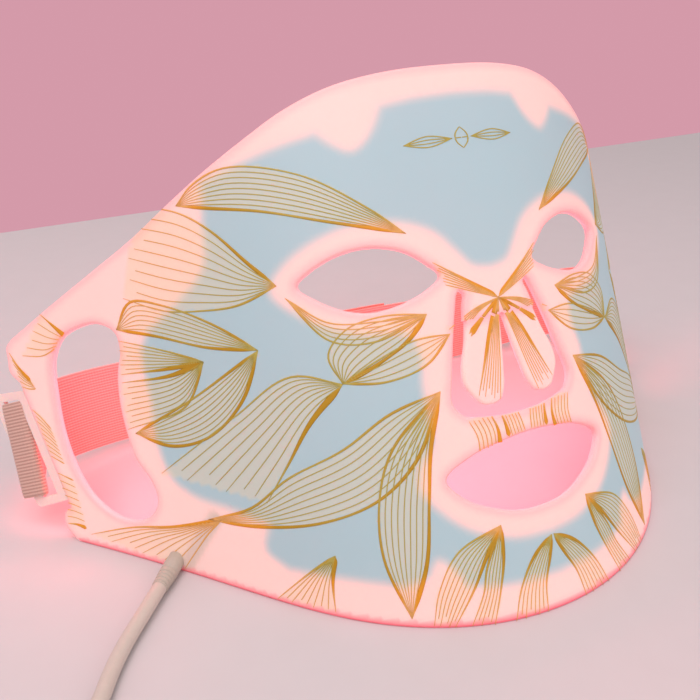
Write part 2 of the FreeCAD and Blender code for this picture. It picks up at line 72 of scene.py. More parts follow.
def at(s, v, d=0.0):
    """Points on the standing sheet, in metres, one row each."""
    s, v, d = np.broadcast_arrays(np.asarray(s, float), np.asarray(v, float), np.asarray(d, float))
    x = np.sign(s) * np.interp(np.abs(s), TABLE_S, TABLE_X)
    y = np.interp(np.abs(s), TABLE_S, TABLE_Y)
    h = heading(s)
    f = 1 + CONE * (v - CONE_V)
    x, y = x * f - d * np.sin(h), y * f + d * np.cos(h)
    c, n = math.cos(LEAN), math.sin(LEAN)
    return np.stack([x, y * c + v * n - ORIGIN_Y, (v + FOOT) * c - y * n], -1) * MM


def directions(s):
    """Outward tangent, inward normal and generator of the sheet at s."""
    h = float(heading(np.array(s, float)))
    c, n = math.cos(LEAN), math.sin(LEAN)
    k = 1 if s >= 0 else -1
    t = Vector((k * math.cos(h), k * math.sin(h) * c, -k * math.sin(h) * n))
    inward = Vector((-math.sin(h), math.cos(h) * c, -math.cos(h) * n))
    return t, inward, Vector((0, n, c))


def foot_v(s):
    y = np.interp(np.abs(s), TABLE_S, TABLE_Y)
    m = math.tan(LEAN)
    return (m * y * (1 - CONE * CONE_V) - FOOT) / (1 - m * y * CONE)


# ---- outlines ------------------------------------------------------------------------------
EYE = [(18.5, 57.3), (22.5, 62.5), (29, 67.8), (39, 71), (48.7, 70.7), (58, 67.8), (63.6, 64),
       (59, 58.6), (51.7, 53.4), (43, 50.5), (33, 51), (24, 53.6)]
MOUTH = [(33.5, -8.4), (22, -2.6), (10, -0.6), (0, 0), (-10, -0.6), (-22, -2.6), (-33.5, -8.4),
         (-29, -15.5), (-20, -21), (-10, -24.4), (0, -25.2), (10, -24.4), (20, -21), (29, -15.5)]
SLOT = [(159, 68.5), (149.5, 70.6), (141.5, 70), (135.6, 65.5), (136, 58.5), (140.5, 51),
        (144.2, 41), (146.2, 30),
        (146.6, 18.5), (143.6, 10), (144, 2.6), (149.5, -2.8), (158, -4), (167.5, 0.3), (173.6, 8.5),
        (176, 19), (175.4, 33), (172, 47), (166.6, 61.5)]
NOSE_HALF = [[(0, 41), (14.4, 41)], [(14.4, 41), (13.2, 46), (12.0, 49.8), (13.2, 51.0), (14.6, 49.6)],
             [(14.6, 49.6), (18, 39.5), (22.3, 25), (24.6, 15), (21.6, 10.6), (15.6, 8.8)],
             [(15.6, 8.8), (7, 7.6), (0, 7.4)]]
LEG = [[(0.6, 41), (13.6, 41)], [(13.6, 41), (15.6, 34), (18.8, 25.6), (19.2, 20.4), (17, 15.8)],
       [(17, 15.8), (14.6, 13), (11.6, 12.1), (8.6, 12.4), (6.6, 13.6)],
       [(6.6, 13.6), (4.9, 17), (3.1, 25.3), (1.6, 34), (0.6, 41)]]
CENTRE_HALF = [[(0, 57), (6.5, 58.5), (11, 64), (17, 71.5), (27, 77), (40, 79.2), (54, 77),
                (66, 71.5), (72.3, 64.6),
                (66, 55.5), (54, 46.8), (42, 42.8), (34, 41), (31, 34), (33, 24), (34, 13), (35, 4), (40, -1),
                (43, -8.5), (38, -18), (28, -27), (14, -32.5), (0, -34)]]
CIRCUIT_HALF = [[(0, 116.3), (14, 116)], [(14, 116), (24, 115)],
                [(24, 115), (29.6, 106.5), (35.8, 102.6), (41, 106), (45, 110.6)],
                [(45, 110.6), (60, 109), (83, 105)], [(83, 105), (86.5, 94), (92, 78), (104, 70), (120, 63)],
                [(120, 63), (126, 57), (130, 39), (134, 23), (133, 9), (126, 2), (113, -4), (99, -11.5)],
                [(99, -11.5), (103.6, -20), (97, -27.6)], [(97, -27.6), (79, -32.6), (57, -39)],
                [(57, -39), (48.5, -37.6), (43.6, -32.8), (39, -37), (36.5, -43)],
                [(36.5, -43), (22, -46.6), (0, -48)]]
EDGE_TOP = [(0, 126.3), (20, 126.2), (37, 124.7), (52, 120.8), (67, 114.7), (82, 108.6),
            (97.5, 102.2), (115, 95.2),
            (135, 88.9), (160, 81), (182, 73.4)]
EDGE_SIDE = [[(182, 73.4), (185.6, 71), (187, 66.6)], [(187, 66.6), (188.6, 61), (EDGE_U, 56)],
             [(EDGE_U, 56), (EDGE_U, 5)], [(EDGE_U, 5), (190.4, 3), (192.2, -2), (189.6, -8.0)]]
LEAD = ((-121, -7), (-147, -27))
BOSS = [(-157, -12), (-150, -6), (-138, 0), (-124, 4.5), (-115, 2), (-113, -6), (-118, -15), (-122, -26),
        (-127, -33), (-140, -29.5), (-152, -25.5), (-159, -22)]


def smooth_run(points, step, closed=False):
    """Centripetal curve through the points, resampled about every step, without its last point."""
    p = np.array(points, float)
    if len(p) == 2:
        n = max(1, int(round(np.linalg.norm(p[1] - p[0]) / step)))
        return p[0] + (p[1] - p[0]) * np.arange(n)[:, None] / n
    if closed:
        p = np.concatenate([p[-1:], p, p[:2]])
    else:
        p = np.concatenate([[2 * p[0] - p[1]], p, [2 * p[-1] - p[-2]]])
    out = []
    for a, b, c, e in zip(p, p[1:], p[2:], p[3:]):
        n = 12
        ta, tb = 0.0, np.linalg.norm(b - a) ** 0.5
        tc = tb + np.linalg.norm(c - b) ** 0.5
        te = tc + np.linalg.norm(e - c) ** 0.5
        for t in tb + (tc - tb) * np.arange(n) / n:
            q1 = a * (tb - t) / (tb - ta) + b * (t - ta) / (tb - ta)
            q2 = b * (tc - t) / (tc - tb) + c * (t - tb) / (tc - tb)
            q3 = c * (te - t) / (te - tc) + e * (t - tc) / (te - tc)
            r1 = q1 * (tc - t) / (tc - ta) + q2 * (t - ta) / (tc - ta)
            r2 = q2 * (te - t) / (te - tb) + q3 * (t - tb) / (te - tb)
            out.append(r1 * (tc - t) / (tc - tb) + r2 * (t - tb) / (tc - tb))
    out.append(p[-2])
    out = np.array(out)
    length = np.concatenate([[0], np.cumsum(np.linalg.norm(np.diff(out, axis=0), axis=1))])
    n = max(3, int(round(length[-1] / step)))
    want = length[-1] * np.arange(n) / n
    return np.stack([np.interp(want, length, out[:, 0]), np.interp(want, length, out[:, 1])], -1)


def flip(runs):
    return [[(-s, v) for s, v in run[::-1]] for run in runs[::-1]]


def ring(runs, step=1.6):
    """Closed counter-clockwise polygon from runs; one run alone closes on itself."""
    if len(runs) == 1:
        p = smooth_run(runs[0], step, True)
    else:
        p = np.concatenate([smooth_run(r, step) for r in runs])
    x, y = p[:, 0], p[:, 1]
    if np.sum(x * np.roll(y, -1) - y * np.roll(x, -1)) < 0:
        p = p[::-1]
    return p


def mirrored(p):
    return (p * (-1, 1))[::-1]


def mask_ring():
    foot = [(s, float(foot_v(s))) for s in np.linspace(188.6, 0, 60)]
    half = [EDGE_TOP] + EDGE_SIDE + [[EDGE_SIDE[-1][-1], foot[0]], foot]
    return ring(half + flip(half))


def inset(p, amount, hole=False):
    """Polygon moved into the material, by one amount per point."""
    d = np.roll(p, -1, 0) - np.roll(p, 1, 0)
    d /= np.maximum(np.linalg.norm(d, axis=1, keepdims=True), 1e-9)
    n = np.stack([-d[:, 1], d[:, 0]], -1)
    return p + n * (np.asarray(amount).reshape(-1, 1) * (-1 if hole else 1))


def within(points, poly):
    hit = np.zeros(len(points), bool)
    x, y = points[:, 0], points[:, 1]
    for a, b in zip(poly, np.roll(poly, -1, 0)):
        if a[1] == b[1]:
            continue
        cross = (a[1] > y) != (b[1] > y)
        hit ^= cross & (x < a[0] + (y - a[1]) * (b[0] - a[0]) / (b[1] - a[1]))
    return hit


def gap_to(points, poly):
    """Distance from each point to the nearest side of a polygon."""
    best = np.full(len(points), 1e9)
    for a, b in zip(poly, np.roll(poly, -1, 0)):
        ab = b - a
        t = np.clip(((points - a) @ ab) / max(ab @ ab, 1e-9), 0, 1)
        best = np.minimum(best, np.linalg.norm(points - a - t[:, None] * ab, axis=1))
    return best


def mesh_object(name, verts, faces, smooth=True):
    mesh = bpy.data.meshes.new(name)
    mesh.from_pydata([tuple(v) for v in verts], [], [tuple(int(i) for i in f) for f in faces])
    mesh.validate()
    mesh.update()
    obj = bpy.data.objects.new(name, mesh)
    bpy.context.scene.collection.objects.link(obj)
    if smooth:
        mesh.polygons.foreach_set("use_smooth", [True] * len(mesh.polygons))
    return obj


def soft_sheet(name, outer, holes, d0, d1, step=1.8, edge=1.3, sharp=()):
    """Sheet with rounded rims between depths d0 and d1. Returns the object and each vertex's (s, v, d).
    sharp lists tests on (s, v): rim points that pass one keep a square edge, to join another piece."""
    loops = [(outer, False)] + [(h, True) for h in holes]
    middle = (d0 + d1) / 2
    half = (d1 - d0) / 2
    profile = []
    for k in range(9):
        a = math.pi * k / 8
        rise = math.copysign(abs(math.cos(a)) ** 0.8, math.cos(a)) * half
        profile.append((edge * (1 - math.sin(a)), middle - rise))
    rows = []
    for loop, hole in loops:
        soft = np.array([0.0 if any(test(*p) for test in sharp) else 1.0 for p in loop])
        rows.append([(inset(loop, amount * soft, hole), depth) for amount, depth in profile])
    core = [r[0][0] for r in rows]
    lo, hi = core[0].min(0), core[0].max(0)
    gx = np.arange(lo[0], hi[0], step)
    gy = np.arange(lo[1], hi[1], step * 0.866)
    grid = np.array([(x + (step / 2 if j % 2 else 0), y) for j, y in enumerate(gy) for x in gx])
    keep = within(grid, core[0])
    for h in core[1:]:
        keep &= ~within(grid, h)
    grid = grid[keep]
    tree = kdtree.KDTree(sum(len(c) for c in core))
    for i, p in enumerate(np.concatenate(core)):
        tree.insert((p[0], p[1], 0), i)
    tree.balance()
    grid = np.array([p for p in grid if tree.find((p[0], p[1], 0))[2] > step * 0.6])
    flat = np.concatenate(core + [grid])
    edges, start = [], 0
    for c in core:
        edges += [(start + i, start + (i + 1) % len(c)) for i in range(len(c))]
        start += len(c)
    out = delaunay_2d_cdt([Vector(p) for p in flat], edges, [], 0, 1e-5)
    verts2 = np.array([tuple(v) for v in out[0]])
    tris = np.array([f for f in out[2] if len(f) == 3])
    mid = verts2[tris].mean(1)
    keep = within(mid, core[0])
    for h in core[1:]:
        keep &= ~within(mid, h)
    tris = tris[keep]
    index = {}
    for new, olds in enumerate(out[3]):
        for old in olds:
            index[old] = new
    n2 = len(verts2)
    svd = [np.column_stack([verts2, np.full(n2, d0)]), np.column_stack([verts2, np.full(n2, d1)])]
    faces = [tuple(t) for t in tris] + [tuple(t[::-1] + n2) for t in tris]
    base = 2 * n2
    first = 0
    for (loop, hole), levels in zip(loops, rows):
        n = len(loop)
        ids = [[index[first + i] for i in range(n)]]
        for poly, depth in levels[1:-1]:
            svd.append(np.column_stack([poly, np.full(n, depth)]))
            ids.append([base + i for i in range(n)])
            base += n
        ids.append([index[first + i] + n2 for i in range(n)])
        for a, b in zip(ids, ids[1:]):
            for i in range(n):
                j = (i + 1) % n
                quad = (a[i], b[i], b[j], a[j])
                faces.append(quad if not hole else quad[::-1])
        first += n
    svd = np.concatenate(svd)
    pos = at(svd[:, 0], svd[:, 1], svd[:, 2])
    pos[:, 2] = np.maximum(pos[:, 2], 0.0001)
    obj = mesh_object(name, pos, faces)
    obj.data.set_sharp_from_angle(angle=math.radians(50))
    return obj, svd


# ---- materials ----------------------------------------------------------------------------------
def rgb(r, g, b):
    """Linear colour from 0 to 255 display values."""
    def lin(c):
        c /= 255
        return c / 12.92 if c <= 0.04045 else ((c + 0.055) / 1.055) ** 2.4
    return (lin(r), lin(g), lin(b), 1)


def material(name, colour, rough=0.5, grain=600, bump=0.1, vary=0.05, distance=0.0002, **sockets):
    m = bpy.data.materials.new(name)
    m.use_nodes = True
    t = m.node_tree
    b = t.nodes["Principled BSDF"]
    b.inputs["Roughness"].default_value = rough
    for key, value in sockets.items():
        b.inputs[key.replace("_", " ")].default_value = value
    co = t.nodes.new("ShaderNodeTexCoord")
    noise = t.nodes.new("ShaderNodeTexNoise")
    noise.inputs["Scale"].default_value = grain
    noise.inputs["Detail"].default_value = 5
    t.links.new(co.outputs["Object"], noise.inputs["Vector"])
    mix = t.nodes.new("ShaderNodeMix")
    mix.data_type = "RGBA"
    mix.inputs[6].default_value = colour
    mix.inputs[7].default_value = [c * (1 - vary * 2.2) for c in colour[:3]] + [1]
    t.links.new(noise.outputs["Fac"], mix.inputs[0])
    t.links.new(mix.outputs[2], b.inputs["Base Color"])
    bm = t.nodes.new("ShaderNodeBump")
    bm.inputs["Strength"].default_value = bump
    bm.inputs["Distance"].default_value = distance
    t.links.new(noise.outputs["Fac"], bm.inputs["Height"])
    t.links.new(bm.outputs["Normal"], b.inputs["Normal"])
    return m


def attribute_node(t, name):
    n = t.nodes.new("ShaderNodeAttribute")
    n.attribute_name = name
    return n.outputs["Fac"]


def mixed(t, fac, a, b, blend="MIX"):
    n = t.nodes.new("ShaderNodeMix")
    n.data_type = "RGBA"
    n.blend_type = blend
    if isinstance(fac, float):
        n.inputs[0].default_value = fac
    else:
        t.links.new(fac, n.inputs[0])
    for socket, value in ((n.inputs[6], a), (n.inputs[7], b)):
        if isinstance(value, tuple):
            socket.default_value = value
        else:
            t.links.new(value, socket)
    return n.outputs[2]


SILICONE = rgb(244, 214, 206)
# The edge colour below is painted pink LED glow for the rims and cut walls.
EDGE_GLOW_PINK = rgb(252, 196, 196)
CIRCUIT_SEEN = rgb(160, 194, 202)
LEAF_WASH = rgb(224, 206, 156)


def silicone_material():
    m = bpy.data.materials.new("silicone_translucent")
    m.use_nodes = True
    t = m.node_tree
    b = t.nodes["Principled BSDF"]
    co = t.nodes.new("ShaderNodeTexCoord")
    cloud = t.nodes.new("ShaderNodeTexNoise")
    cloud.inputs["Scale"].default_value = 18
    cloud.inputs["Detail"].default_value = 3
    grain = t.nodes.new("ShaderNodeTexNoise")
    grain.inputs["Scale"].default_value = 900
    grain.inputs["Detail"].default_value = 4
    for n in (cloud, grain):
        t.links.new(co.outputs["Object"], n.inputs["Vector"])
    # rim: painted pink glow near every edge and on the cut walls.
    base = mixed(t, attribute_node(t, "rim"), SILICONE, EDGE_GLOW_PINK)
    base = mixed(t, attribute_node(t, "zone"), base, CIRCUIT_SEEN)
    base = mixed(t, attribute_node(t, "leaf"), base, LEAF_WASH)
    base = mixed(t, attribute_node(t, "lead"), base, rgb(206, 190, 176))
    # Painted pink LED glow on the back face.
    base = mixed(t, attribute_node(t, "back_face_glow"), base, rgb(250, 176, 184))
    # Painted red LED glow along the bottom edge.
    base = mixed(t, attribute_node(t, "foot"), base, rgb(242, 104, 124))
    soft = t.nodes.new("ShaderNodeMapRange")
    soft.inputs["To Min"].default_value = 0.0
    soft.inputs["To Max"].default_value = 0.16
    t.links.new(cloud.outputs["Fac"], soft.inputs["Value"])
    base = mixed(t, soft.outputs["Result"], base, rgb(236, 196, 196))
    t.links.new(base, b.inputs["Base Color"])
    # Emission is painted glow over the whole skin: pale pink, blue-grey over the circuit, red at the rims, back
    # face and bottom edge; it stands in for LED light through the silicone and flattens its shading.
    glow = mixed(t, attribute_node(t, "rim"), rgb(250, 205, 200), rgb(255, 120, 130))
    glow = mixed(t, attribute_node(t, "zone"), glow, rgb(170, 200, 208))
    glow = mixed(t, attribute_node(t, "back_face_glow"), glow, rgb(255, 92, 112))
    glow = mixed(t, attribute_node(t, "foot"), glow, rgb(255, 40, 70))
    t.links.new(glow, b.inputs["Emission Color"])
    b.inputs["Emission Strength"].default_value = 0.16
    b.inputs["Roughness"].default_value = 0.46
    b.inputs["IOR"].default_value = 1.41
    b.inputs["Subsurface Weight"].default_value = 0.25
    b.inputs["Subsurface Radius"].default_value = (1.0, 0.45, 0.4)
    b.inputs["Subsurface Scale"].default_value = 0.004
    bm = t.nodes.new("ShaderNodeBump")
    bm.inputs["Strength"].default_value = 0.12
    bm.inputs["Distance"].default_value = 0.0001
    t.links.new(grain.outputs["Fac"], bm.inputs["Height"])
    t.links.new(bm.outputs["Normal"], b.inputs["Normal"])
    return m


def gold_material():
    """Ink that reads orange over clear silicone and olive over the circuit, darker in the heavy lines."""
    m = material("gold_ink", rgb(160, 120, 4), 0.5, 900, 0.3, 0.12, 0.00006)
    t = m.node_tree
    heavy = mixed(t, attribute_node(t, "over_circuit"), rgb(236, 158, 24), rgb(186, 146, 8))
    fine = mixed(t, attribute_node(t, "over_circuit"), rgb(240, 182, 104), rgb(186, 176, 84))
    colour = mixed(t, attribute_node(t, "weight"), fine, heavy)
    shade = [n for n in t.nodes if n.type == "MIX"][0]
    t.links.new(colour, shade.inputs[6])
    t.links.new(mixed(t, 0.3, colour, rgb(136, 98, 0)), shade.inputs[7])
    return m


MAT_SKIN = silicone_material()
MAT_GOLD = gold_material()
MAT_CORD = material("cord_jacket", rgb(206, 198, 188), 0.42, 700, 0.15, 0.05, 0.00008, Coat_Weight=0.2)
MAT_GLAND = material("gland_rubber", rgb(190, 184, 172), 0.5, 800, 0.2, 0.06, 0.0001)


# ---- gold leaf ornament ----------------------------------------------------------------------
def smoothstep(x, a, b):
    t = np.clip((x - a) / (b - a), 0, 1)
    return t * t * (3 - 2 * t)


def circuit_zone(p):
    """1 over the flex circuit, 0 off it, with the blur of the silicone between."""
    rim_line = ring(CIRCUIT_HALF + flip(CIRCUIT_HALF), 2.5)
    hole_line = ring(CENTRE_HALF + flip(CENTRE_HALF), 2.5)
    d_rim = gap_to(p, rim_line) * np.where(within(p, rim_line), 1, -1)
    d_hole = gap_to(p, hole_line) * np.where(within(p, hole_line), -1, 1)
    return smoothstep(np.minimum(d_rim, d_hole), -2.6, 2.6)


def curve_points(points, n):
    p = np.array(points, float)
    if len(p) == 2:
        return p[0] + (p[1] - p[0]) * np.linspace(0, 1, n)[:, None]
    dense = np.concatenate([smooth_run(points, 0.7), p[-1:]])
    length = np.concatenate([[0], np.cumsum(np.linalg.norm(np.diff(dense, axis=0), axis=1))])
    want = np.linspace(0, length[-1], n)
    return np.stack([np.interp(want, length, dense[:, 0]), np.interp(want, length, dense[:, 1])], -1)


# Each leaf: first side, second side, number of lines, width of the heavy line on each side.
LEAVES = [
    ([(94, 100.5), (86, 105.5), (74, 107.5), (53, 99), (36, 84), (26, 73)],
     [(94, 100.5), (82, 96), (68, 91), (48, 82), (26, 73)], 9, 0.9, 1.7),
    ([(108, 105), (94, 98), (85, 89), (76, 75), (69.5, 66)],
     [(126, 76), (112, 68), (98, 64.5), (84, 63), (69.5, 66)], 10, 1.6, 1.0),
    ([(133.6, 66), (124, 74), (111, 69.5), (95, 59), (82, 47)],
     [(133.6, 66), (118, 60), (100, 52), (82, 47)], 8, 1.4, 1.8),
    ([(82, 47), (95, 42), (112, 36), (142, 28)],
     [(82, 47), (93, 32), (110, 22), (128, 21), (142, 28)], 9, 1.5, 2.0),
    ([(103, 47.5), (116, 54), (134.5, 62)], [(103, 47.5), (118, 48), (138.5, 50)], 8, 1.0, 2.4),
    ([(103, 47.5), (118, 45.5), (139.5, 47)], [(103, 47.5), (116, 34), (144.6, 30)], 9, 2.6, 1.2),
    ([(58, 30), (74, 36), (98, 27), (137, 12)], [(58, 30), (72, 20), (84, 8), (97, -4)], 9, 0.8, 2.6),
    ([(26, 46), (40, 48.5), (52, 47), (60, 40), (58, 30)],
     [(26, 46), (34, 39), (46, 33.5), (58, 30)], 8, 0.8, 2.4),
    ([(20, 38), (32, 38.5), (45, 35), (58, 30)], [(20, 38), (30, 30), (44, 27.5), (58, 30)], 5, 0.8, 1.2),
    ([(28, 20.5), (46, 17), (64, 9), (86, 3), (104, -5), (124, -7)],
     [(28, 20.5), (41, 1), (57, -9.5), (78, -13.5), (102, -12), (124, -7)], 9, 1.3, 1.9),
    ([(28, 20.5), (48, 6), (57, -9), (61.5, -29), (58, -50)],
     [(28, 20.5), (36, 3), (41, -13), (47.5, -33), (58, -50)], 9, 1.5, 2.4),
    ([(68, 61.5), (57, 50.5), (42, 47.2), (26, 46)],
     [(68, 61.5), (58, 44.6), (44, 41), (26, 46)], 5, 0.7, 1.0),
    ([(118, -7.6), (140, -8), (160, -6.2), (181, -6.6)],
     [(118, -7.6), (126, -12), (134, -17.5), (143, -24)], 10, 1.6, 0.7),
    ([(78, -25), (88, -29), (106, -37.5)], [(78, -25), (82, -34), (84.5, -44)], 9, 1.0, 2.4),
    ([(19, -27), (36, -32), (46, -43), (51, -53.5)],
     [(19, -27), (27, -36), (34, -45), (44, -55.5)], 8, 0.9, 2.2),
    ([(19, -27), (28, -40), (31, -47), (38, -56.5)],
     [(19, -27), (21, -38), (25, -48), (30, -58)], 6, 1.4, 1.8),
    ([(0.4, -35.4), (9, -40), (17, -49), (22, -59)],
     [(0.4, -35.4), (3, -42), (7, -50), (9, -59.6)], 8, 1.7, 1.7),
    ([(156.5, 68.5), (161, 75), (164, 79.5)], [(161, 66), (170, 64), (179, 66)], 6, 2.6, 0.6),
    ([(180, 55.5), (183, 62), (184.6, 68.5)], [(179, 52.5), (182, 53), (185, 54.5)], 7, 2.2, 0.7),
    ([(179.6, 36), (182, 41), (184.6, 45)], [(180, 22), (182.5, 24), (185, 26)], 9, 0.7, 0.7),
    ([(179, 15), (182, 17), (185, 19)], [(182, -4), (186, -2), (190, -1)], 8, 0.8, 2.0),
    ([(0, 46.2), (9, 53.2), (20, 62)], [(0, 46.2), (8, 49.6), (17.6, 54)], 7, 2.2, 0.4),
    ([(0, 46.2), (9, 44.4), (20, 39.5)], [(0, 46.2), (8, 43.2), (17, 36.5)], 5, 0.4, 0.4),
    ([(12, -1.8), (11.6, 4), (13.4, 10.4)], [(20, -3.4), (19.4, 3), (21, 8.6)], 6, 2.0, 0.5),
    ([(1.4, 0.8), (2.2, 6), (3.8, 11)], [(8, 0.2), (8.4, 5), (9.6, 10.6)], 6, 0.5, 2.0),
]
LEG_FANS = [([(0, 46.2), (6, 36), (11.6, 24), (15.4, 16)],
             [(0, 46.2), (3, 34), (5.4, 23), (8, 13)], 8, 2.6, 0.6),
            ([(0, 46.2), (7, 41.4), (13.6, 36.6)], [(0, 46.2), (7, 41.0), (13.2, 35.6)], 2, 1.9, 1.9)]
SPRIG = [([(-20, 101), (-12, 102.8), (-3.4, 101)], [(-20, 101), (-12, 99.2), (-3.4, 101)], 4, 0.5, 0.5),
         ([(0, 104.6), (1.9, 102.6), (2.4, 101)], [(0, 97.4), (1.9, 99.4), (2.4, 101)], 3, 0.6, 0.6)]


FINE_LINE = 0.36


def leaf_lines(leaf):
    """(line points, half widths) for every line of a leaf, heavy where its strands meet."""
    side_a, side_b, count, wa, wb = leaf
    n = 36
    a, b = curve_points(side_a, n), curve_points(side_b, n)
    t = np.linspace(0, 1, n)
    meets = [np.linalg.norm(a[0] - b[0]) < 1.5, np.linalg.norm(a[-1] - b[-1]) < 1.5]
    from_tip = 1 - t if meets[1] and not meets[0] else t
    swell = np.minimum(1, from_tip / 0.08) * (1 - from_tip) ** 1.4
    if all(meets):
        swell = 0.8 * np.maximum(swell, swell[::-1])
    for k in range(count):
        q = k / (count - 1)
        line = a * (1 - q) + b * q
        heavy = {0: wa, count - 1: wb}.get(k, FINE_LINE)
        width = FINE_LINE + (heavy - FINE_LINE) * swell
        last = n if all(meets) or heavy > FINE_LINE else n - int(4 * (k * 0.618 % 1))
        kept = slice(0, last) if not meets[1] else slice(n - last, n)
        taper = 0.5 + 0.5 * np.minimum(1, 8 * np.minimum(t, 1 - t))
        yield line[kept], (width * taper / 2)[kept]


def ribbon_mesh(name, strips, top=-0.11, bottom=-0.01):
    """Thin raised ink lines, each a closed strip, with its weight and the ground under it as attributes."""
    verts, faces, spots, weight = [], [], [], []
    for line, half in strips:
        n = len(line)
        d = np.gradient(line, axis=0)
        d /= np.maximum(np.linalg.norm(d, axis=1, keepdims=True), 1e-9)
        side = np.stack([-d[:, 1], d[:, 0]], -1) * half[:, None]
        base = len(verts)
        corners = ((line + side, bottom), (line + side * 0.7, top), (line - side * 0.7, top), (line - side, bottom))
        for p, depth in corners:
            verts.extend(at(p[:, 0], p[:, 1], depth))
            spots.append(p)
            weight.append(smoothstep(half, 0.24, 0.6))
        for r in range(4):
            for i in range(n - 1):
                a, b = base + r * n + i, base + ((r + 1) % 4) * n + i
                faces.append((a, b, b + 1, a + 1))
        faces.append(tuple(base + r * n for r in (3, 2, 1, 0)))
        faces.append(tuple(base + r * n + n - 1 for r in range(4)))
    obj = mesh_object(name, verts, faces)
    values = {"weight": np.concatenate(weight), "over_circuit": circuit_zone(np.concatenate(spots))}
    for key, value in values.items():
        a = obj.data.attributes.new(key, "FLOAT", "POINT")
        a.data.foreach_set("value", value.astype(np.float32))
    return obj


def trimmed(strips, outer, holes, margin=0.5):
    """Only the stretches of each line that lie on the sheet."""
    for line, half in strips:
        ok = within(line, outer)
        for h in holes:
            ok &= ~within(line, h)
        start = None
        for i in range(len(line) + 1):
            good = i < len(line) and ok[i]
            if good and start is None:
                start = i
            if not good and start is not None:
                if i - start > 2:
                    yield line[start:i], half[start:i]
                start = None


# ---- the mask ---------------------------------------------------------------------------------
OUTER = mask_ring()
eye = ring([EYE], 1.2)
slot_hole = ring([SLOT])
mouth = ring([MOUTH], 1.2)
nose = ring(NOSE_HALF + flip(NOSE_HALF), 0.9)
HOLES = [eye, mirrored(eye), mouth, slot_hole, mirrored(slot_hole), nose]


def on_seam(s, v):
    return abs(v - 41) < 0.05 and abs(s) < 14.2


def paint(obj, svd, leaves=True):
    """Attributes for the circuit seen through the silicone, the painted glow at the rims, on the back face and
    along the bottom edge, the lead and the leaf wash.
    """
    p = svd[:, :2]
    zone = circuit_zone(p)
    edge = np.minimum.reduce([gap_to(p, poly) for poly in [OUTER] + HOLES])
    # rim is painted glow: pinker within 4 mm of an edge and on the cut walls.
    rim = 1 - smoothstep(edge, 0.0, 4.0)
    rim = np.maximum(rim, smoothstep(svd[:, 2], 0.6, 2.4) * 0.8)
    leaf = np.zeros(len(p))
    if leaves:
        for side_a, side_b, count, wa, wb in LEAVES:
            shape = np.concatenate([curve_points(side_a, 24), curve_points(side_b, 24)[::-1]])
            for poly in (shape, shape * (-1, 1)):
                leaf = np.maximum(leaf, within(p, poly) * 0.42)
    leaf *= (svd[:, 2] < 1.0)
    # foot: painted red glow of the LEDs along the bottom edge.
    foot = (1 - smoothstep(p[:, 1] - foot_v(p[:, 0]), 0.4, 2.6)) * (np.abs(p[:, 0]) < 188)
    a, b = np.array(LEAD[0]), np.array(LEAD[1])
    t = np.clip(((p - a) @ (b - a)) / ((b - a) @ (b - a)), 0, 1)
    off_lead = np.linalg.norm(p - a - t[:, None] * (b - a), axis=1)
    lead = (1 - smoothstep(off_lead, 1.6, 4.0)) * (svd[:, 2] < 1.0)
    # The back face gets painted pink LED glow.
    back_face_glow = smoothstep(svd[:, 2], 2.4, 3.1)
    for name, value in (("zone", zone * (svd[:, 2] < 2.6)), ("rim", rim), ("leaf", leaf), ("foot", foot),
                        ("lead", lead), ("back_face_glow", back_face_glow)):
        a = obj.data.attributes.new(name, "FLOAT", "POINT")
        a.data.foreach_set("value", value.astype(np.float32))


skin, svd = soft_sheet("mask_skin", OUTER, HOLES, 0.0, THICK, 1.7, sharp=[on_seam])
paint(skin, svd)
skin.data.materials.append(MAT_SKIN)
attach(skin, "mask")
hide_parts("front_cover", "rear_liner", "bonding_frame")

for side, word in ((-1, "left"), (1, "right")):
    leg = ring(LEG if side > 0 else flip(LEG), 0.9)
    flap, leg_svd = soft_sheet("nose_flap_" + word, leg, [], 0.0, THICK, 1.4, sharp=[on_seam])
    paint(flap, leg_svd, False)
    flap.data.materials.append(MAT_SKIN)
    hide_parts("nose_leg_" + word)
    start, end = at(side * 8, 40.9, 1.6), at(side * 8, 36.0, 1.6)
    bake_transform(flap)
    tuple(start)
    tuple(end)
    strips = [(line * (side, 1), half) for fan in LEG_FANS for line, half in leaf_lines(fan)]
    lines = ribbon_mesh("nose_flap_gold_" + word, list(trimmed(strips, leg, [])))
    lines.data.materials.append(MAT_GOLD)
    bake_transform(lines)
    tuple(start)
    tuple(end)

strips = []
for leaf in LEAVES:
    for k in (1, -1):
        strips += [(line * (k, 1), half) for line, half in leaf_lines(leaf)]
for leaf in SPRIG:
    for k in (1, -1):
        strips += [(line * (k, 1), half) for line, half in leaf_lines(leaf)]
for fan in LEG_FANS:
    for k in (1, -1):
        strips += [(line * (k, 1), half) for line, half in leaf_lines(fan)]
gold = ribbon_mesh("gold_leaf_lines", list(trimmed(strips, OUTER, HOLES)))
gold.data.materials.append(MAT_GOLD)
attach(gold, "mask")
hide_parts("gold_print")


# ---- straps -------------------------------------------------------------------------------------
ELASTIC, ELASTIC_W, RIBS = 1.2, 38.0, 30
BAR_S, BAR_V, BAR_D = 199.7, 30.5, 1.7   # middle of the tab's outer bar on the sheet
LOOP_SHIFT, LOOP_HALF = 2.2, 6.0
PAST_MIDDLE = 36.0                       # how far each strap runs past the middle
BAR = Vector(at(BAR_S, BAR_V, BAR_D)) / MM
ROOT_X, ROOT_Y = BAR.x - 8.0, BAR.y + 13.0


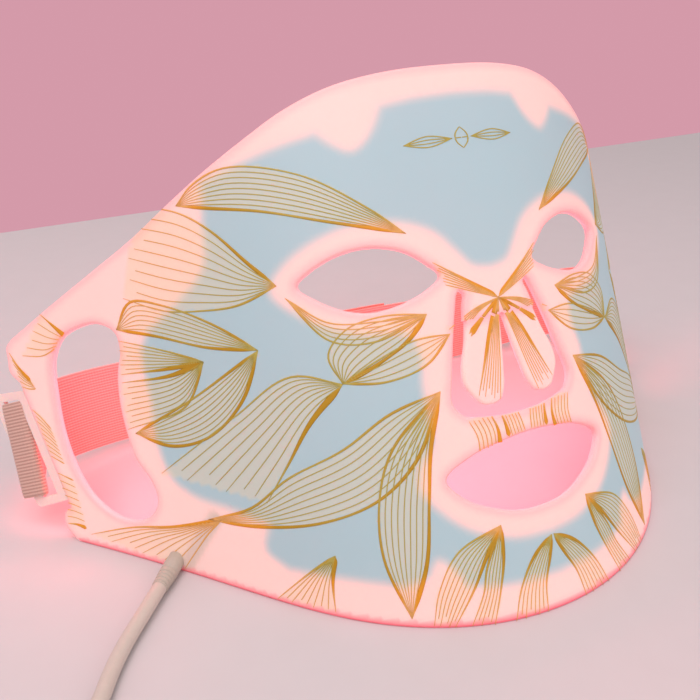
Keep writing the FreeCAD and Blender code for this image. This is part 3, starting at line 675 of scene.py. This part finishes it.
def strap_station(side, x):
    """Lower point, upper point and outward direction of a strap at x, in mm."""
    bulge = 33.4 if side < 0 else 30.0
    def plan(q):
        return Vector((q, ROOT_Y + bulge * (1 - (q / ROOT_X) ** 2), 0))
    d = (plan(x + 0.5) - plan(x)).normalized()
    k = max(0.0, min(1.0, (ROOT_X - abs(x)) / 90.0))
    k = k * k * (3 - 2 * k)
    z = (BAR.z - ELASTIC_W / 2) * (1 - k) + 0.8 * k
    p = plan(x) + Vector((0, 0, z))
    return p, p + Vector((0, 0, ELASTIC_W)), Vector((-d.y, d.x, 0))


def webbing(name, groups):
    """Ribbed elastic through groups of (low, high, outward) stations; (stations, closed) each."""
    verts, faces, along, across = [], [], [], []
    m = RIBS * 6 + 1
    for stations, closed in groups:
        base, travelled, last = len(verts), 0.0, None
        for low, high, out in stations:
            middle = (low + high) / 2
            travelled += 0 if last is None else (middle - last).length
            last = middle
            for face in (1, -1):
                for j in range(m):
                    w = j / (m - 1)
                    edge = min(1.0, 14 * min(w, 1 - w))
                    rib = 0.10 * math.cos(2 * math.pi * RIBS * w)
                    thick = (ELASTIC / 2 - 0.12 + rib) * math.sqrt(max(0.05, edge * (2 - edge)))
                    verts.append((low.lerp(high, w) + out * (face * thick)) * MM)
                    along.append(travelled)
                    across.append(w)
        count = len(stations)
        row = 2 * m
        for i in range(count if closed else count - 1):
            a, b = base + i * row, base + ((i + 1) % count) * row
            for j in range(m - 1):
                faces.append((a + j, a + j + 1, b + j + 1, b + j))
                faces.append((a + m + j, b + m + j, b + m + j + 1, a + m + j + 1))
            faces.append((a, b, b + m, a + m))
            faces.append((a + m - 1, a + 2 * m - 1, b + 2 * m - 1, b + m - 1))
        if not closed:
            for a in (base, base + (count - 1) * row):
                for j in range(m - 1):
                    faces.append((a + j, a + m + j, a + m + j + 1, a + j + 1))
    obj = mesh_object(name, verts, faces)
    for key, value in (("along", along), ("across", across)):
        a = obj.data.attributes.new(key, "FLOAT", "POINT")
        a.data.foreach_set("value", np.array(value, np.float32))
    return obj


def elastic_material():
    m = material("ribbed_elastic", rgb(214, 178, 164), 0.85, 2600, 0.4, 0.1, 0.00012, Sheen_Weight=0.35)
    t = m.node_tree
    waves = []
    for key, scale in (("along", 2 * math.pi / 1.3), ("across", 2 * math.pi * RIBS)):
        times = t.nodes.new("ShaderNodeMath")
        times.operation = "MULTIPLY"
        times.inputs[1].default_value = scale
        t.links.new(attribute_node(t, key), times.inputs[0])
        wave = t.nodes.new("ShaderNodeMath")
        wave.operation = "COSINE"
        t.links.new(times.outputs[0], wave.inputs[0])
        waves.append(wave.outputs[0])
    bump = [n for n in t.nodes if n.type == "BUMP"][0]
    noise = [n for n in t.nodes if n.type == "TEX_NOISE"][0]
    weft = t.nodes.new("ShaderNodeMath")
    weft.operation = "MULTIPLY_ADD"
    weft.inputs[1].default_value = 0.5
    t.links.new(waves[0], weft.inputs[0])
    t.links.new(noise.outputs["Fac"], weft.inputs[2])
    t.links.new(weft.outputs[0], bump.inputs["Height"])
    shade = [n for n in t.nodes if n.type == "MIX"][0]
    # Painted shade: the colour darkens towards the second colour in the rib grooves.
    groove_shade = t.nodes.new("ShaderNodeMapRange")
    groove_shade.inputs["From Min"].default_value = -1
    groove_shade.inputs["To Min"].default_value = 0.9
    groove_shade.inputs["To Max"].default_value = 0.0
    t.links.new(waves[1], groove_shade.inputs["Value"])
    t.links.new(groove_shade.outputs["Result"], shade.inputs[0])
    shade.inputs[7].default_value = rgb(176, 136, 124)
    return m


MAT_ELASTIC = elastic_material()


def bar_loop(side):
    """Stations round the tab's outer bar, in mm."""
    t, n, g = directions(side * BAR_S)
    c = Vector(at(side * BAR_S, BAR_V, BAR_D)) / MM - t * LOOP_SHIFT
    stations = []
    for k in range(40):
        a = 2 * math.pi * k / 40
        ct, cn = math.cos(a), math.sin(a)
        p = c + t * math.copysign(abs(ct) ** 0.55 * (LOOP_HALF - ELASTIC / 2), ct) \
            + n * math.copysign(abs(cn) ** 0.8 * 2.05, cn)
        out = (t * ct * 0.35 + n * cn).normalized() if abs(cn) > 0.15 else t * math.copysign(1, ct)
        stations.append((p - g * ELASTIC_W / 2, p + g * ELASTIC_W / 2, out))
    return stations


for side, word, body in ((-1, "left", "strap_l"), (1, "right", "strap_r")):
    t, n, g = directions(side * BAR_S)
    c = Vector(at(side * BAR_S, BAR_V, BAR_D)) / MM
    low, high, out = strap_station(side, side * ROOT_X)
    low0 = c - g * ELASTIC_W / 2 + n * 2.4 - t * 1.8
    stub = []
    for k in range(8):
        q = k / 8
        facing = (t * -side).lerp(out, q).normalized()
        facing = facing if facing.dot(out) > 0 else -facing
        stub.append((low0.lerp(low, q), (low0 + g * ELASTIC_W).lerp(high, q), facing))
    far = -side * PAST_MIDDLE
    band = [strap_station(side, side * ROOT_X + (far - side * ROOT_X) * k / 90) for k in range(91)]
    band = [(a + o * ELASTIC / 2, b + o * ELASTIC / 2, o) for a, b, o in band]
    obj = webbing("strap_webbing_" + word, [(bar_loop(side), True), (stub + band, False)])
    obj.data.materials.append(MAT_ELASTIC)
    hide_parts("strap_loop_" + word, "strap_" + word)
    later = strap_station(side, side * (ROOT_X - 14))
    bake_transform(obj)

# ---- cable entry and cord --------------------------------------------------------------------
CORD_R = 2.6
foot_point = Vector(at(-147.0, float(foot_v(-147.0)), 0.0)) / MM
GLAND = Vector((foot_point.x, foot_point.y, 3.55))
GLAND_DIR = Vector((-0.62, -0.785, 0)).normalized()


def lathe(name, start, direction, profile, sides=40):
    """Turned piece: profile is (distance along, radius) in mm."""
    z = direction.normalized()
    x = z.cross(Vector((0, 0, 1))).normalized()
    y = z.cross(x)
    verts, faces = [], []
    for d, r in profile:
        for k in range(sides):
            a = 2 * math.pi * k / sides
            verts.append((start + z * d + (x * math.cos(a) + y * math.sin(a)) * r) * MM)
    for i in range(len(profile) - 1):
        for k in range(sides):
            j = (k + 1) % sides
            faces.append((i * sides + k, i * sides + j, (i + 1) * sides + j, (i + 1) * sides + k))
    faces.append(tuple(reversed(range(sides))))
    faces.append(tuple((len(profile) - 1) * sides + k for k in range(sides)))
    obj = mesh_object(name, verts, faces)
    obj.data.set_sharp_from_angle(angle=math.radians(45))
    return obj


relief = [(0, 3.1), (0.3, 3.28), (9.4, 3.28), (9.7, 3.0), (10.1, 3.0), (10.4, 3.28)]
for k in range(4):
    a = 11.0 + 1.6 * k
    r = 3.25 - 0.11 * k
    relief += [(a, r), (a + 0.9, r - 0.05), (a + 1.05, r - 0.3), (a + 1.45, r - 0.32)]
relief += [(17.6, 2.86), (17.9, 2.7)]
gland = lathe("cable_relief", GLAND - GLAND_DIR * 3.9, GLAND_DIR, relief)
gland.data.materials.append(MAT_GLAND)
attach(gland, "mask")
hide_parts("cable_gland")

boss, boss_svd = soft_sheet("cable_boss_cover", ring([BOSS]), [], 3.05, 10.6, 1.8, 2.6)
# The cover lies deeper than 3.05 mm, so paint gives it the painted rim and back-face glow all over.
paint(boss, boss_svd, False)
boss.data.materials.append(MAT_SKIN)
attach(boss, "mask")
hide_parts("cable_boss")

Z = CORD_R + 0.25
start = GLAND + GLAND_DIR * 8.0
COIL = Vector((-163.5, -31.5, 0))
route = [start, start + GLAND_DIR * 13.0, Vector((-140.6, 46.6, Z)), Vector((-150.6, 27.4, Z)),
         Vector((-168.0, 6.5, Z)), Vector((-184.5, -6.5, Z)), Vector((-193.6, -22.5, Z))]
LAYERS = [(31.2, 4.0), (25.9, 4.0), (25.9, 9.3), (25.9, 14.4), (31.2, 14.4), (31.2, 9.3), (31.2, 9.3)]
FIRST, LAST, PER_TURN = math.radians(172), math.radians(244 + 5 * 360), 24
steps = int((LAST - FIRST) / (2 * math.pi) * PER_TURN)
for k in range(steps + 1):
    turn_no = k / PER_TURN
    a = FIRST + (LAST - FIRST) * k / steps
    i = int(turn_no)
    q = float(smoothstep(turn_no - i, 0.55, 1.0))
    r = LAYERS[i][0] * (1 - q) + LAYERS[i + 1][0] * q
    z = LAYERS[i][1] * (1 - q) + LAYERS[i + 1][1] * q
    route.append(COIL + Vector((r * math.cos(a), r * math.sin(a), z)))
route += [Vector((-165.0, -62.8, 9.0)), Vector((-149.5, -69.5, 6.0)), Vector((-140.5, -83.0, Z)),
          Vector((-141.0, -99.0, Z + 0.75))]
curve = bpy.data.curves.new("supply_cord", "CURVE")
curve.dimensions = "3D"
curve.bevel_depth = CORD_R * MM
curve.bevel_resolution = 6
curve.resolution_u = 8
curve.use_fill_caps = True
spline = curve.splines.new("NURBS")
spline.points.add(len(route) - 1)
for point, p in zip(spline.points, route):
    point.co = (*(p * MM), 1)
spline.order_u = 3
spline.use_endpoint_u = True
cord = bpy.data.objects.new("supply_cord", curve)
bpy.context.scene.collection.objects.link(cord)
curve.materials.append(MAT_CORD)
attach(cord, "mask")
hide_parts("cord_tube", "cord_coil")

# ---- light windows on the inner side -----------------------------------------------------------
LED_PITCH, LED_LOW = 15.5, -44   # spacing of the lights and height of their lowest row


def led_sites():
    rim = ring(CIRCUIT_HALF + flip(CIRCUIT_HALF), 2.5)
    hole = ring(CENTRE_HALF + flip(CENTRE_HALF), 2.5)
    grid = np.array([(i * LED_PITCH, LED_LOW + j * LED_PITCH) for j in range(11) for i in range(-10, 11)], float)
    ok = within(grid, rim) & ~within(grid, hole) & (np.minimum(gap_to(grid, rim), gap_to(grid, hole)) > 4.5)
    return grid[ok]


verts, faces, core = [], [], []
for s0, v0 in led_sites():
    base = len(verts)
    for radius, depth in ((3.0, 3.15), (2.8, 3.42), (2.2, 3.62), (1.3, 3.74), (0.5, 3.78)):
        a = np.arange(20) * 2 * math.pi / 20
        verts.extend(at(s0 + radius * np.cos(a), v0 + radius * np.sin(a), depth))
        core += [1 - radius / 3.0] * 20
    for r in range(4):
        for k in range(20):
            j = (k + 1) % 20
            low, high = base + r * 20, base + (r + 1) * 20
            faces.append((low + k, high + k, high + j, low + j))
    faces.append(tuple(base + 80 + k for k in range(20)))
    faces.append(tuple(base + k for k in reversed(range(20))))
windows = mesh_object("light_windows", verts, faces)
a = windows.data.attributes.new("core", "FLOAT", "POINT")
a.data.foreach_set("value", np.array(core, np.float32))
MAT_WINDOW = material("light_window", rgb(255, 150, 150), 0.25, 700, 0.1, 0.05, 0.0001)
t = MAT_WINDOW.node_tree
b = t.nodes["Principled BSDF"]
lit = mixed(t, attribute_node(t, "core"), rgb(255, 90, 100), rgb(255, 190, 180))
t.links.new(lit, b.inputs["Emission Color"])
b.inputs["Emission Strength"].default_value = 1.2
windows.data.materials.append(MAT_WINDOW)
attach(windows, "mask")

# ---- materials for the carried-over pieces -----------------------------------------------------
CARRIED = {
    "flex_circuit": material("circuit_film", rgb(178, 198, 204), 0.35, 400, 0.1, 0.06),
    "stiffener": material("stiffener_film", rgb(198, 160, 70), 0.4, 500, 0.1, 0.08),
    "leds_red": material("led_red", rgb(250, 80, 80), 0.2, 900, 0.05, 0.04),
    "leds_infrared": material("led_infrared", rgb(92, 34, 44), 0.2, 900, 0.05, 0.04),
    "resistors": material("component_black", rgb(30, 30, 34), 0.4, 1500, 0.1, 0.1),
    "driver_chips": material("chip_black", rgb(34, 34, 38), 0.45, 1500, 0.15, 0.1),
    "terminal_pads": material("solder", rgb(200, 200, 204), 0.25, 1500, 0.2, 0.05, Metallic=1.0),
    "lead_sleeve": MAT_GLAND,
    "cord_tie": material("tie_black", rgb(40, 40, 44), 0.6, 1800, 0.3, 0.12),
    "plug_overmould": material("plug_jacket", rgb(200, 192, 182), 0.5, 900, 0.25, 0.06),
    "plug_shell": material("plug_steel", rgb(196, 196, 200), 0.28, 300, 0.1, 0.08, Metallic=1.0),
    "plug_tongue": material("plug_insert", rgb(28, 28, 30), 0.5, 900, 0.1, 0.1),
    "hook_patch": material("hook_tape", rgb(226, 214, 206), 0.9, 3200, 1.0, 0.2, 0.0006),
    "loop_patch": material("loop_tape", rgb(222, 204, 196), 0.95, 2200, 1.0, 0.2, 0.0008, Sheen_Weight=0.6),
}
MAT_TAB = material("tab_silicone", rgb(250, 226, 220), 0.45, 700, 0.15, 0.04, 0.0001,
                   Subsurface_Weight=0.3, Subsurface_Scale=0.003)
CARRIED["strap_tab_left"] = CARRIED["strap_tab_right"] = MAT_TAB
for node, finish in CARRIED.items():
    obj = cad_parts[node]
    obj.data.materials.clear()
    obj.data.materials.append(finish)

# ---- camera, floor and light ---------------------------------------------------------------------
AZ, EL, ROLL = math.radians(-26.05), math.radians(24.31), math.radians(-2.04)
back = Vector((math.sin(AZ) * math.cos(EL), -math.cos(AZ) * math.cos(EL), math.sin(EL)))
right0 = Vector((math.cos(AZ), math.sin(AZ), 0))
up0 = back.cross(right0)
right = right0 * math.cos(ROLL) + up0 * math.sin(ROLL)
up = up0 * math.cos(ROLL) - right0 * math.sin(ROLL)
cam_data = bpy.data.cameras.new("camera")
cam_data.lens = 40.68
cam_data.sensor_width = 36
cam_data.clip_start = 0.01
cam = bpy.data.objects.new("camera", cam_data)
bpy.context.scene.collection.objects.link(cam)
EYE_POINT = (-0.15398, -0.15496, 0.19006)
cam.matrix_world = Matrix.Translation(EYE_POINT) @ Matrix((right, up, back)).transposed().to_4x4()
bpy.context.scene.camera = cam

floor = mesh_object("floor", [(-3, -3, 0), (3, -3, 0), (3, 0.62, 0), (-3, 0.62, 0)], [(0, 1, 2, 3)], False)
floor.data.materials.append(material("floor_paint", rgb(208, 205, 208), 0.6, 60, 0.02, 0.02))

world = bpy.data.worlds.new("world")
bpy.context.scene.world = world
world.use_nodes = True
sky = world.node_tree
height = sky.nodes.new("ShaderNodeSeparateXYZ")
sky.links.new(sky.nodes.new("ShaderNodeTexCoord").outputs["Generated"], height.inputs[0])
climb = sky.nodes.new("ShaderNodeMapRange")
climb.inputs["From Min"].default_value = 0.05
climb.inputs["From Max"].default_value = 0.30
sky.links.new(height.outputs["Z"], climb.inputs["Value"])
sky.links.new(mixed(sky, climb.outputs["Result"], rgb(255, 186, 204), rgb(255, 243, 242)),
              sky.nodes["Background"].inputs["Color"])
sky.nodes["Background"].inputs["Strength"].default_value = 0.66
bpy.context.scene.view_settings.view_transform = "Standard"


def area_light(name, place, aim, size, power, colour):
    data = bpy.data.lights.new(name, "AREA")
    data.size = size
    data.energy = power
    data.color = colour[:3]
    obj = bpy.data.objects.new(name, data)
    obj.location = place
    obj.rotation_euler = (Vector(aim) - Vector(place)).to_track_quat("-Z", "Y").to_euler()
    bpy.context.scene.collection.objects.link(obj)


area_light("key", (-0.5, -0.7, 0.9), (0, 0.05, 0.05), 0.7, 3.6, rgb(255, 246, 242))
area_light("fill", (0.6, -0.6, 0.5), (0, 0.05, 0.05), 0.8, 1.6, rgb(255, 230, 230))
area_light("wall_wash", (-0.3, 0.1, 0.9), (-0.3, 0.6, 0.2), 0.6, 3.4, rgb(255, 222, 226))
for x, y, z, power in ((-0.065, 0.10, 0.05, 0.30), (0.0, 0.075, 0.05, 0.35), (0.065, 0.10, 0.05, 0.30),
                       (0.0, 0.11, 0.11, 0.25), (-0.105, 0.135, 0.045, 0.16)):
    data = bpy.data.lights.new("inner_glow", "POINT")
    data.energy = power * 0.6
    data.color = rgb(255, 90, 105)[:3]
    data.shadow_soft_size = 0.02
    lamp = bpy.data.objects.new("inner_glow", data)
    lamp.location = (x, y, z)
    bpy.context.scene.collection.objects.link(lamp)
